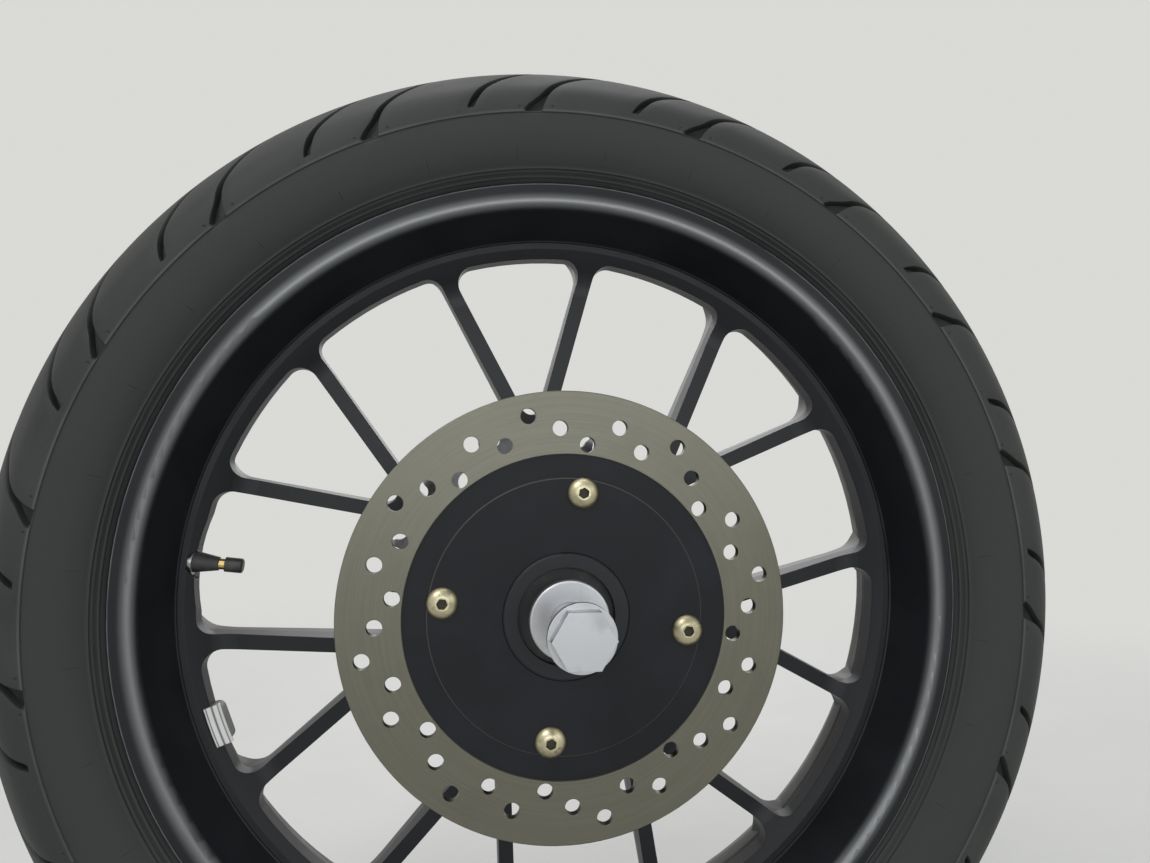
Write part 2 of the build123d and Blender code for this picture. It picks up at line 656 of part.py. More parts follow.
def balance_weight():
    """Balance weight: a body inside the rib, and a clip with two ridges over the rib's front."""
    draft = math.tan(math.radians(SPOKE_DRAFT))
    slope = FOOT_DEPTH / (FOOT_END - FOOT_START)
    rib_back = (WINDOW_RADIUS + draft * (SPOKE_MIDDLE - RIB_BACK) - WEIGHT_CLEARANCE, RIB_BACK)
    over = (WEIGHT_CLIP_RADIUS, SPOKE_FRONT - slope * (WEIGHT_CLIP_RADIUS - FOOT_START) - WEIGHT_CLEARANCE)
    front = over[1] - WEIGHT_CLIP
    middle_depth = SPOKE_MIDDLE - SPOKE_FRONT - slope * FOOT_START
    edge_radius = (WINDOW_RADIUS + draft * middle_depth) / (1 - draft * slope) - WEIGHT_CLEARANCE
    rib_front = (edge_radius, SPOKE_FRONT - slope * (edge_radius - FOOT_START) - WEIGHT_CLEARANCE)
    body = turned([(WEIGHT_BODY_RADIUS, RIB_BACK, 0), (*rib_back, 0), (*rib_front, 0),
                   (WEIGHT_BODY_RADIUS, rib_front[1], 0)])
    clip = turned([(WEIGHT_BODY_RADIUS, rib_front[1], 0), (*rib_front, 0), (*over, 0),
                   (WEIGHT_CLIP_RADIUS, front, 0), (WEIGHT_BODY_RADIUS, front, 0)])
    for place in WEIGHT_RIDGE_PLACES:
        radius = WINDOW_RADIUS + place
        clip += ring(radius + WEIGHT_RIDGE, radius - WEIGHT_RIDGE, front - WEIGHT_RIDGE, front + 1.0)
    reach = 2 * abs(front)
    plate = RectangleRounded(4 * WEIGHT_CORNER, WEIGHT_LENGTH, WEIGHT_CORNER)
    around = Rot(90, 0, 0) * extrude(plate, reach, both=True)
    around = Pos(WEIGHT_BODY_RADIUS + 2 * WEIGHT_CORNER, 0, 0) * around
    between = Pos(WEIGHT_BODY_RADIUS, 0, 0) * Box(reach, reach, WEIGHT_LENGTH)
    return at_turn(WEIGHT_TURN) * ((body & around) + (clip & between))


NODES = {
    "tyre": tyre(),
    "cast_wheel": cast_wheel(),
    "brake_disc": brake_disc(),
    "sprocket_carrier": carrier(),
    "sprocket": sprocket(),
    "bearing_outer_right": bearing_outer(RIGHT_BEARING),
    "bearing_outer_left": bearing_outer(LEFT_BEARING - BEARING_WIDTH),
    "seal_right": seal(RIGHT_BEARING - SEAL - 1.0),
    "seal_left": seal(LEFT_BEARING + 1.0),
    "valve_stem": valve_stem(),
    "valve_neck": valve_neck(),
    "valve_cap": valve_cap(),
    "balance_weight": balance_weight(),
    "axle": axle(),
    "axle_nut": axle_nut(),
    "axle_washer": axle_washer(),
    "collar_right": collar(RIGHT_BEARING, RIGHT_FACE),
    "collar_left": collar(LEFT_BEARING, LEFT_FACE),
    "bearing_inner_right": bearing_inner(RIGHT_BEARING),
    "bearing_inner_left": bearing_inner(LEFT_BEARING - BEARING_WIDTH),
}
for k in range(DISC_BOLT_COUNT):
    NODES[f"disc_bolt_{k + 1}"] = disc_bolt(DISC_BOLT_TURN + k * 360 / DISC_BOLT_COUNT)
for k in range(STUD_COUNT):
    NODES[f"sprocket_stud_{k + 1}"] = sprocket_stud(k * 360 / STUD_COUNT)
    NODES[f"sprocket_nut_{k + 1}"] = sprocket_nut(k * 360 / STUD_COUNT)

os.makedirs("parts", exist_ok=True)
for name, solid in NODES.items():
    export_step(Pos(0, -RIGHT_FACE, 0) * solid, f"parts/{name}.step")
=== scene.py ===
"""Tread, finishes and studio for a cast motorcycle rear wheel, laid out as a Blender add-on.

Metres, in the part's own frame: the axle lies along Y through the origin, X points forward and
Z up. The wheel's middle plane is at y = MIDDLE. A clock angle starts at the rear, level with the
axle, and grows downwards at the rear, as it does in the part's source.
"""
import math

import bpy
import numpy as np
from bpy.props import FloatProperty, FloatVectorProperty, IntProperty, PointerProperty
from mathutils import Matrix, Vector


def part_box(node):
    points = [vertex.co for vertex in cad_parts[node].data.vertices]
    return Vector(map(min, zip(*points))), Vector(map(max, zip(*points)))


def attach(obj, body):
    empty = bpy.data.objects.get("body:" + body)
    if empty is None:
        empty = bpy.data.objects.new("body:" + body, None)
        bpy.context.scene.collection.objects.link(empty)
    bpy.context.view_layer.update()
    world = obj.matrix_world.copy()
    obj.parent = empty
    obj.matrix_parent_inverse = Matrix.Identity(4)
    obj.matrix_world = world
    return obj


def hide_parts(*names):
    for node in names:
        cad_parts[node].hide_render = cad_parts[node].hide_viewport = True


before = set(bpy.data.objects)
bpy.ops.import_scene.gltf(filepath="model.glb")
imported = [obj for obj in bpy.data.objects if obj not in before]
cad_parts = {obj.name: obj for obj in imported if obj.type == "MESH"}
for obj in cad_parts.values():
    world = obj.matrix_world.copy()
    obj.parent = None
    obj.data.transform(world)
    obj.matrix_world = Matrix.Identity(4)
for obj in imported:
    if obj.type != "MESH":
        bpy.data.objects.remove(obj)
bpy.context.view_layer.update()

bl_info = {
    "name": "Motorcycle rear wheel",
    "version": (1, 0, 0),
    "blender": (4, 5, 0),
    "location": "3D View > Sidebar > Wheel",
    "description": "Tread, finishes and studio for a cast motorcycle rear wheel",
    "category": "Object",
}

TYRE_LOW, TYRE_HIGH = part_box("tyre")
MIDDLE = (TYRE_LOW.y + TYRE_HIGH.y) / 2
TYRE_RADIUS = TYRE_HIGH.x

# places that the finishes mark: distances from the axle (the socket's from its bolt's own axis),
# from the middle plane (the clip's has a sign, negative to the right) and, on the tread, from the
# crown's middle along the rubber
TREAD_EDGE = 0.0838
NICK_PLACE = 0.0815
FLASH_RADIUS = 0.2575
BEAD_RINGS_RADIUS = 0.2475
FLANGE_TIP_RADIUS = 0.2422
FLANGE_TIP_PLACE = 0.0499
FLANGE_SHEEN_RADIUS = 0.2322
RIM_RIDGE_RADIUS = 0.2151
RIM_RIDGE_PLACE = 0.0230
BARREL_RADIUS = 0.2140
DISC_BAND_RADIUS = 0.0862
DISC_RING_HIGHLIGHT_RADIUS = 0.0733
SOCKET_RADIUS = 0.0027
CHAIN_RADIUS = 0.0970
TOOTH_TIP_RADIUS = 0.1015
VALVE_COLLAR_RADIUS = 0.2088
WEIGHT_CLIP_PLACE = -0.0190

# the grooves' pattern. An end is where depth fades in, from the crown's middle, and a foot is
# where it fades out, from the tread's edge. The short groove's place is its share of the pitch.
LEAN_POWER = 1.4
LEAN_LIMIT = 2.2
FOOT_FLARE = 2.0
CROWN_TAPER = 0.35
SHORT_PLACE = 1 - 11.1 / 18.95
LONG_END, LONG_FOOT = (0.010, 0.018), (-0.0035, 0.0012)
SHORT_END, SHORT_FOOT = (0.034, 0.042), (-0.0062, -0.0045)


def colour(name, description, default):
    """Colour property with the defaults that every finish here uses."""
    return FloatVectorProperty(
        name=name, description=description, default=default,
        subtype="COLOR", size=3, min=0.0, max=1.0,
    )


def length(name, description, default):
    """Length property in metres."""
    return FloatProperty(
        name=name, description=description, default=default, min=0.0, unit="LENGTH"
    )


class WheelSizes(bpy.types.PropertyGroup):
    """Sizes of the tread and of the fine relief on the metal"""

    groove_pairs: IntProperty(
        name="Groove pairs", default=19, min=3,
        description="Pairs of one long and one short groove round each shoulder",
    )
    first_groove: FloatProperty(
        name="First groove", description="Clock angle of the foot of one long groove",
        default=math.radians(-11.3), subtype="ANGLE",
    )
    groove_sweep: FloatProperty(
        name="Groove sweep", description="Angle by which a groove leans from shoulder to crown",
        default=math.radians(18.0), subtype="ANGLE",
    )
    groove_depth: length("Groove depth", "Depth of the tread's grooves", 0.0048)
    groove_width: length("Groove width", "Width of the tread's grooves", 0.0040)
    shoulder_radius: length("Shoulder radius", "Distance of the tread's edge from the axle", 0.2783)
    shoulder_step: length("Shoulder step", "Height of the tread's edge over the sidewall", 0.0007)
    worn_edge: length("Worn edge", "Rounding that catches light along the casting's edges", 0.0006)


class WheelColours(bpy.types.PropertyGroup):
    """Colours of the finishes"""

    rubber: colour("Rubber", "Tyre rubber", (0.018, 0.020, 0.019))
    # also the base of the painted highlights on the groove lips and along the tread's edge
    rubber_dust_and_highlight: colour("Rubber dust", "Dust that greys the tyre", (0.050, 0.053, 0.046))
    paint: colour("Paint", "Satin black paint of the casting", (0.007, 0.008, 0.010))
    # also paints the highlight along the flange's tip and the rim's ridge
    paint_wear_and_highlight: colour("Worn paint", "Paint along rubbed edges", (0.24, 0.25, 0.26))
    brake_dust: colour("Brake dust", "Brown film inside the rim", (0.030, 0.021, 0.015))
    disc: colour("Brake disc", "Swept band of the brake disc", (0.158, 0.150, 0.118))
    zinc: colour("Yellow zinc", "Plating of the disc's bolts", (0.55, 0.50, 0.33))
    zinc_stain: colour("Zinc stain", "Stains on the bolts' plating", (0.10, 0.085, 0.05))
    # also painted shade down in the sockets
    socket_shade_and_dirt: colour("Socket dirt", "Dirt down in the bolts' sockets", (0.012, 0.011, 0.009))
    steel: colour("Steel", "Bare and zinc plated steel", (0.50, 0.50, 0.51))
    steel_stain: colour("Steel stain", "Stains on steel", (0.12, 0.09, 0.065))
    # a darker tone in the roots of threads
    thread_root_dark: colour("Thread dirt", "Dirt in the roots of threads", (0.05, 0.045, 0.04))
    brass: colour("Brass", "Neck of the valve", (0.60, 0.42, 0.18))
    black_rubber: colour("Black rubber", "Seals and valve body", (0.018, 0.018, 0.018))
    moulded_dust: colour("Moulded dust", "Dust on seals, valve and cap", (0.08, 0.078, 0.07))
    valve_collar: colour("Valve collar", "Metal base of the valve", (0.30, 0.30, 0.29))
    weight_dark: colour("Weight, dark", "Darker part of the weight's body", (0.13, 0.145, 0.12))
    weight_pale: colour("Weight, pale", "Paler part of the weight's body", (0.20, 0.21, 0.18))
    clip_dark: colour("Clip, dark", "Darker part of the weight's clip", (0.62, 0.63, 0.62))
    clip_pale: colour("Clip, pale", "Paler part of the weight's clip", (0.8, 0.8, 0.79))
    # darker bands beside the clip's ridges
    clip_ridge_dark: colour("Clip dirt", "Dirt beside the clip's ridges", (0.03, 0.03, 0.028))
    grease: colour("Grease", "Old chain grease", (0.030, 0.024, 0.018))
    floor: colour("Floor", "Studio floor", (0.66, 0.66, 0.63))
    backdrop: colour("Backdrop", "What the camera and reflections see behind", (0.70, 0.70, 0.68))
    ambient: colour("Ambient", "Light that the world itself gives", (0.42, 0.43, 0.45))


class Value:
    """A socket with numbers in it: arithmetic on it adds Math nodes to its tree."""

    def __init__(self, finish, socket):
        self.finish = finish
        self.socket = socket

    def math(self, operation, *others):
        """Math node of that operation on this value and the others."""
        inputs = {index: other for index, other in enumerate((self, *others))}
        return self.finish.add("ShaderNodeMath", {"operation": operation}, inputs)

    def __add__(self, other):
        return self.math("ADD", other)

    def __sub__(self, other):
        return self.math("SUBTRACT", other)

    def __mul__(self, other):
        return self.math("MULTIPLY", other)

    def __truediv__(self, other):
        return self.math("DIVIDE", other)

    def __abs__(self):
        return self.math("ABSOLUTE")

    def __rsub__(self, other):
        return self.finish.add("ShaderNodeMath", {"operation": "SUBTRACT"}, {0: other, 1: self})

    __radd__ = __add__
    __rmul__ = __mul__


class Finish:
    """A material that is being made: one Principled shader and the nodes that feed it."""

    def __init__(self, name):
        self.material = bpy.data.materials.new(name)
        self.material.use_nodes = True
        self.tree = self.material.node_tree
        self.shader = self.tree.nodes["Principled BSDF"]
        place = self.add("ShaderNodeTexCoord", {}, {}, "Object")
        self.place = place.socket
        self.x = self.add("ShaderNodeSeparateXYZ", {}, {0: place}, 0)
        self.y = self.add("ShaderNodeSeparateXYZ", {}, {0: place}, 1) - MIDDLE
        self.z = self.add("ShaderNodeSeparateXYZ", {}, {0: place}, 2)
        self.radius = (self.x * self.x + self.z * self.z).math("SQRT")
        self.angle = self.z.math("ARCTAN2", self.x)

    def add(self, kind, settings, inputs, output=0):
        """One node: its settings first, then the values or links of its sockets."""
        node = self.tree.nodes.new(kind)
        for key, value in settings.items():
            setattr(node, key, value)
        for key, value in inputs.items():
            if isinstance(value, Value):
                self.tree.links.new(value.socket, node.inputs[key])
            elif isinstance(value, bpy.types.NodeSocket):
                self.tree.links.new(value, node.inputs[key])
            else:
                node.inputs[key].default_value = value
        return Value(self, node.outputs[output])

    def step(self, value, low, high, start=0.0, end=1.0):
        """Smooth step of value: start below low, end above high."""
        settings = {"interpolation_type": "SMOOTHSTEP", "clamp": True}
        inputs = {0: value, 1: low, 2: high, 3: start, 4: end}
        return self.add("ShaderNodeMapRange", settings, inputs)

    def near(self, value, centre, half):
        """One where value is centre, falling to nothing at half away from it."""
        return self.step(abs(value - centre), 0.0, half, 1.0, 0.0)

    def mix(self, factor, first, second):
        """Colour between first and second."""
        settings = {"data_type": "RGBA", "clamp_factor": True}
        full = [shade if isinstance(shade, Value) else (*shade, 1.0) for shade in (first, second)]
        return self.add("ShaderNodeMix", settings, {0: factor, 6: full[0], 7: full[1]}, 2)

    def noise(self, scale, detail=3.0, roughness=0.55, vector=None):
        """Noise between 0 and 1, on the object's own place or on a vector."""
        place = vector or self.place
        inputs = {"Vector": place, "Scale": scale, "Detail": detail, "Roughness": roughness}
        return self.add("ShaderNodeTexNoise", {"noise_dimensions": "3D"}, inputs)

    def vector(self, x, y, z):
        """Vector from three values."""
        return self.add("ShaderNodeCombineXYZ", {}, {0: x, 1: y, 2: z})

    def turned(self, around, across, depth):
        """Noise place that follows a turning about the axle: streaks run round the wheel.

        Its parts are the angle, the radius and the place along the axle, each times its factor.
        The angle enters as the cosine and sine of the point, so the pattern has no seam.
        """
        ring = self.radius * across
        east = self.x / self.radius * around
        north = self.z / self.radius * around
        return self.vector(east + ring, north - ring, self.y * depth + ring)

    def bump(self, height, distance, normal=None):
        """Bump of that height, in metres where the height is 1."""
        inputs = {"Height": height, "Distance": distance, "Strength": 1.0}
        if normal is not None:
            inputs["Normal"] = normal
        return self.add("ShaderNodeBump", {}, inputs)

    def edge(self, width):
        """Normal that is rounded along the edges of a solid."""
        return self.add("ShaderNodeBevel", {"samples": 4}, {"Radius": width})

    def done(self, **sockets):
        """Link or set the shader's sockets, and give the material."""
        for name, value in sockets.items():
            socket = self.shader.inputs[name.replace("_", " ")]
            if isinstance(value, Value):
                self.tree.links.new(value.socket, socket)
            else:
                socket.default_value = (*value, 1.0) if isinstance(value, tuple) else value
        return self.material


def tone(values, factor):
    """A colour times a number, as a plain tuple."""
    return tuple(min(1.0, part * factor) for part in values)


def dress(material, *names):
    """Give CAD nodes one material."""
    for name in names:
        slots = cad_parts[name].data.materials
        slots.clear()
        slots.append(material)


def arc(first, middle, last, count):
    """Points on the circle through three points, from first to last.

    The centre is where the two perpendicular bisectors of the chords meet.
    """
    a, b, c = (np.array(p, float) for p in (first, middle, last))
    chords = np.array([b - a, c - b])
    halves = np.array([(b @ b - a @ a) / 2, (c @ c - b @ b) / 2])
    centre = np.linalg.solve(chords, halves)
    turns = np.unwrap([math.atan2(p[1] - centre[1], p[0] - centre[0]) for p in (a, b, c)])
    turn = np.linspace(turns[0], turns[2], count)
    reach = np.linalg.norm(a - centre)
    return centre + reach * np.stack([np.cos(turn), np.sin(turn)], axis=1)


def ease(values, low, high):
    """Smooth step from 0 at low to 1 at high, worked on a whole array."""
    t = np.clip((values - low) / (high - low), 0.0, 1.0)
    return t * t * (3.0 - 2.0 * t)


def along(points):
    """Length of a polyline up to each of its points."""
    return np.concatenate([[0.0], np.cumsum(np.linalg.norm(np.diff(points, axis=0), axis=1))])


def ring_mesh(name, points):
    """Mesh on a grid of rows by columns that closes round its columns, and round its rows too.

    Every quad joins a point to its neighbours in the next row and the next column. The quads
    are turned round if the volume that they enclose comes out negative.
    """
    rows, columns = points.shape[:2]
    index = np.arange(rows * columns).reshape(rows, columns)
    beside = np.roll(index, -1, axis=1)
    below = np.roll(index, -1, axis=0)
    quads = np.stack([index, beside, np.roll(below, -1, axis=1), below], axis=-1).reshape(-1, 4)
    flat = points.reshape(-1, 3)
    a, b, c = flat[quads[:, 0]], flat[quads[:, 1]], flat[quads[:, 2]]
    if np.einsum("ij,ij->", a, np.cross(b, c)) < 0.0:
        quads = quads[:, ::-1]
    mesh = bpy.data.meshes.new(name)
    mesh.from_pydata(flat.tolist(), [], quads.tolist())
    mesh.polygons.foreach_set("use_smooth", np.ones(len(quads), dtype=bool))
    mesh.set_sharp_from_angle(angle=math.radians(32.0))
    mesh.update()
    piece = bpy.data.objects.new(name, mesh)
    bpy.context.scene.collection.objects.link(piece)
    return piece


def attribute(piece, name, values):
    """Store one number per point of the mesh under a name that a material can read."""
    layer = piece.data.attributes.new(name, "FLOAT", "POINT")
    layer.data.foreach_set("value", np.ascontiguousarray(values, dtype=np.float32).ravel())


def tyre_section(sizes):
    """Rows of the tyre's section: radius, place from the middle plane, and place on the tread.

    The crown is the arc of the part's tyre, and the side is the arc down to the rim's flange. A
    running mean over 12 mm joins them without a corner. The place on the tread is the length
    from the crown's middle, negative to the right. Beads and liner follow the part's corners.
    """
    mm = 0.001
    shoulder = (293.0, 62.0)
    crown = arc((319.6, 0.0), (310.0, 39.4), shoulder, 140)
    side = arc(shoulder, (272.05, 65.0), (243.1, 48.85), 110)
    outline = np.concatenate([crown, side[1:]])
    run = along(outline)
    even = np.arange(0.0, run[-1], 0.5)
    fine = np.stack([np.interp(even, run, outline[:, k]) for k in (0, 1)], axis=1)
    mirrored = np.concatenate([fine[:0:-1] * (1, -1), fine])
    window = np.ones(25) / 25
    smooth = np.stack([np.convolve(mirrored[:, k], window, mode="same") for k in (0, 1)], axis=1)
    smooth = smooth[len(fine) - 1:]
    blend = ease(even, run[-1] - 20.0, run[-1] - 8.0)[:, None]
    smooth = smooth * (1 - blend) + fine * blend
    edge = float(np.interp(-sizes.shoulder_radius / mm, -smooth[:, 0], even))

    rows = np.concatenate([
        edge - np.linspace(1.0, 0.0, 37)[:-1] * edge,
        edge + np.array([-1.0, -0.3, 0.0, 0.35, 0.9, 2.0]),
        np.linspace(edge + 5.0, run[-1] - 13.0, 7),
        np.linspace(run[-1] - 12.0, run[-1], 22),
    ])
    rows = np.unique(np.round(rows, 3))
    section = np.stack([np.interp(rows, even, smooth[:, k]) for k in (0, 1)], axis=1)
    slope = np.gradient(section, rows, axis=0)
    normal = np.stack([slope[:, 1], -slope[:, 0]], axis=1)
    normal /= np.linalg.norm(normal, axis=1)[:, None]
    from_edge = rows - edge
    from_foot = run[-1] - rows
    relief = -sizes.shoulder_step / mm * ease(from_edge, 0.0, 0.4)
    relief *= 1 - ease(from_edge, 12.0, 26.0)
    bead_rings = ((9.2, 0.9, 0.55), (6.6, 0.7, 0.4), (3.4, 1.2, 0.5))
    for centre, half, height in bead_rings:
        relief += height * (1 - ease(abs(from_foot - centre), 0.0, half))
    relief -= 0.5 * (1 - ease(from_foot, 2.0, 9.0))
    section = section + normal * relief[:, None]

    bead = np.array([
        (243.1, 48.2), (243.1, 44.35), (237.0, 44.3), (231.7, 44.3), (228.75, 41.3), (228.75, 30.4),
        (236.0, 31.9),
    ])
    lining = np.concatenate([
        arc((243.1, 33.4), (270.05, 58.0), (281.0, 55.0), 6),
        arc((281.0, 55.0), (307.6, 0.0), (281.0, -55.0), 9)[1:5],
    ])
    half = np.concatenate([section, bead, lining])
    place = np.concatenate([rows, np.full(len(bead) + len(lining), rows[-1] + 10.0)])
    face = np.concatenate([normal, np.zeros((len(bead) + len(lining), 2))])
    mirror = (1, -1)
    section = np.concatenate([half, half[-2:0:-1] * mirror]) * mm
    face = np.concatenate([face, face[-2:0:-1] * mirror])
    place = np.concatenate([place, -place[-2:0:-1]]) * mm
    return section, face, place, edge * mm


def groove_depth(reach, edge, end, foot):
    """Share of the full depth that a groove has at each distance from the crown's middle."""
    return ease(reach, *end) * (1 - ease(reach, edge + foot[0], edge + foot[1]))


def groove_columns(sizes, place, radius, edge):
    """Angles of the tread's columns in one pair of grooves, and each column's share of depth.

    Both grooves lean by the sweep times a power of the way from shoulder to crown. Seven
    columns cross a groove: outside, lip, wall foot, middle, and back. The columns between two
    grooves share out the land. A groove's width grows along the round by its lean, and the long
    one's also by the flare at its foot. Depth fades in and out over the ends of each groove, and
    the long and the short groove change places on the other shoulder.
    """
    pitch = 2 * math.pi / sizes.groove_pairs
    way = np.clip((edge - abs(place)) / edge, 0.0, 1.0)
    lean = -sizes.groove_sweep * way ** LEAN_POWER
    slope = np.gradient(lean, np.arange(len(place)))
    spread = np.gradient(place, np.arange(len(place)))
    moving = abs(spread) > 1e-6
    tilt = np.where(moving, radius * slope / np.where(moving, spread, 1.0), 0.0)
    tilt = np.clip(tilt, -LEAN_LIMIT, LEAN_LIMIT)
    reach = abs(place)
    right = place <= 0
    flare = FOOT_FLARE * ease(reach, edge - 0.012, edge)
    taper = CROWN_TAPER + (1 - CROWN_TAPER) * ease(reach, 0.008, 0.03)
    half = sizes.groove_width / 2 * np.sqrt(1 + tilt ** 2) * taper / radius
    offsets = np.array([-1.25, -1.0, -0.72, 0.0, 0.72, 1.0, 1.25])
    share = np.array([0.0, 0.04, 1.0, 1.0, 1.0, 0.04, 0.0])
    side = np.where(offsets > 0, 1.5, 0.2)
    first = offsets * half[:, None] * (1 + np.where(right, flare, 0.0)[:, None] * side)
    second = offsets * half[:, None] * (1 + np.where(right, 0.0, flare)[:, None] * side)
    second = pitch * SHORT_PLACE + second
    land = np.linspace(0, 1, 7)[None, 1:-1]
    gap_one = first[:, -1:] * (1 - land) + second[:, :1] * land
    land = np.linspace(0, 1, 8)[None, 1:-1]
    gap_two = second[:, -1:] * (1 - land) + (pitch + first[:, :1]) * land
    angles = np.concatenate([first, gap_one, second, gap_two], axis=1) + lean[:, None]

    long_depth = groove_depth(reach, edge, LONG_END, LONG_FOOT)
    short_depth = groove_depth(reach, edge, SHORT_END, SHORT_FOOT)
    one = np.where(right, long_depth, short_depth)[:, None] * share
    two = np.where(right, short_depth, long_depth)[:, None] * share
    depth = np.concatenate([one, np.zeros(gap_one.shape), two, np.zeros(gap_two.shape)], axis=1)
    return angles, depth, pitch


def tyre_points(sizes):
    """Points of the tyre on its grid, with the depth share, tread place and pitch place of each.

    Every row is a circle about the axle at the section's radius. A point in a groove is moved
    against the section's normal by the groove's depth.
    """
    section, face, place, edge = tyre_section(sizes)
    angles, depth, pitch = groove_columns(sizes, place, section[:, 0], edge)
    turns = pitch * np.arange(sizes.groove_pairs)
    angle = (angles[:, None, :] + turns[None, :, None] + sizes.first_groove).reshape(len(place), -1)
    share = np.tile(depth, (1, sizes.groove_pairs))
    sunk = section[:, None, :] - face[:, None, :] * (share * sizes.groove_depth)[:, :, None]
    points = np.stack([
        -sunk[..., 0] * np.cos(angle), sunk[..., 1] + MIDDLE, -sunk[..., 0] * np.sin(angle),
    ], axis=-1)
    phase = np.mod((angle - sizes.first_groove) / pitch + 0.5, 1.0) - 0.5
    across = np.broadcast_to(place[:, None], share.shape)
    return points, share, across, phase


def rubber_finish(colours):
    """Tyre rubber: matt, dusty in patches, painted shade in the grooves, painted highlights on lips
    and edge.
    """
    f = Finish("tyre_rubber")
    depth, across, phase = (
        f.add("ShaderNodeAttribute", {"attribute_name": name}, {}, "Fac")
        for name in ("groove", "across", "phase")
    )
    tread = f.step(abs(across), TREAD_EDGE - 0.0003, TREAD_EDGE + 0.0007, 1.0, 0.0)
    cloud = f.noise(14.0, 5.0)
    grain = f.noise(900.0, 3.0, 0.7)
    streak = f.noise(1.0, 4.0, 0.6, f.turned(9.0, 900.0, 500.0))
    dust = f.step(cloud, 0.42, 0.72) * 0.55 + f.step(streak, 0.45, 0.7) * 0.25
    body = f.mix(dust * (0.45 + tread * 0.35), colours.rubber, colours.rubber_dust_and_highlight)
    # painted shade: the grooves are darkened towards a darker tone of the rubber
    body = f.mix(f.step(depth, 0.05, 0.45) * 0.6, body, tone(colours.rubber, 0.45))
    # painted highlight on the groove lips, a paler tone of the dust colour; the lips are also
    # smoother
    lip = f.near(depth, 0.12, 0.1) * tread
    body = f.mix(lip * 0.45, body, tone(colours.rubber_dust_and_highlight, 1.5))
    # painted highlight along the tread's edge, where the shoulder line catches light
    edge = f.near(abs(across), TREAD_EDGE, 0.0012)
    body = f.mix(edge * f.step(cloud, 0.3, 0.6, 0.3, 0.8), body, tone(colours.rubber_dust_and_highlight, 1.3))

    # small nicks beside each groove's foot, darkened as painted shade in their hollows, and thin
    # flash lines that cross the sidewall
    nick = sum(f.near(phase, centre, 0.013) for centre in (0.105, -0.095, 0.47))
    nick = nick * f.near(abs(across), NICK_PLACE, 0.0013)
    flash = f.near((f.angle / (2 * math.pi / 32)).math("FRACT"), 0.5, 0.006)
    flash = flash * f.near(f.radius, FLASH_RADIUS, 0.0055)
    body = f.mix(nick * 0.8 + flash * 0.5, body, tone(colours.rubber, 0.4))
    rings = (f.radius * 5200.0).math("SINE") * f.near(f.radius, BEAD_RINGS_RADIUS, 0.005)
    relief = grain * 0.05 + rings * 0.06 - nick * 0.9 + flash * 0.35 + streak * 0.05
    rough = 0.62 + dust * 0.25 - lip * 0.12
    return f.done(
        Base_Color=body, Roughness=rough, Normal=f.bump(relief, 0.0006), Specular_IOR_Level=0.42
    )


def paint_finish(name, base, colours, sizes, dusty=0.0):
    """Satin paint on a casting: orange peel, mottling, dust, a glossier flange, rubbed edges with a
    painted highlight.
    """
    f = Finish(name)
    cloud = f.noise(22.0, 4.0)
    peel = f.noise(1600.0, 2.0)
    specks = f.step(f.noise(700.0, 4.0, 0.7), 0.66, 0.74)
    body = f.mix(f.step(cloud, 0.35, 0.75) * 0.4, base, tone(base, 1.7))
    barrel = f.near(f.radius, BARREL_RADIUS, 0.012) * f.step(abs(f.y), 0.0, 0.026, 1.0, 0.25)
    film = barrel * f.step(cloud, 0.3, 0.7) * dusty
    body = f.mix(film * 0.6, body, colours.brake_dust)
    # rubbed paint and painted highlight: paler lines on the flange's tip and the rim's ridge, edges
    # that catch light
    tip = f.near(f.radius, FLANGE_TIP_RADIUS, 0.0010) * f.near(abs(f.y), FLANGE_TIP_PLACE, 0.0015)
    ridge = f.near(f.radius, RIM_RIDGE_RADIUS, 0.0006) * f.near(abs(f.y), RIM_RIDGE_PLACE, 0.0012)
    wear_and_highlight = tip.math("MAXIMUM", ridge * 0.3) * f.step(cloud, 0.25, 0.5, 0.35, 1.0)
    body = f.mix(wear_and_highlight * 0.7, body, colours.paint_wear_and_highlight)
    body = f.mix(specks * 0.08, body, colours.rubber_dust_and_highlight)
    rough = 0.37 + cloud * 0.10 + film * 0.3 + specks * 0.1
    relief = peel * 0.5 + cloud * 0.5
    normal = f.bump(relief, 0.00006, f.edge(sizes.worn_edge))
    gloss = f.near(f.radius, FLANGE_SHEEN_RADIUS, 0.0058) * f.step(abs(f.y), 0.036, 0.044)
    return f.done(
        Base_Color=body, Roughness=rough, Normal=normal, Specular_IOR_Level=0.3,
        Coat_Weight=gloss, Coat_Roughness=0.38, Coat_IOR=2.1,
    )


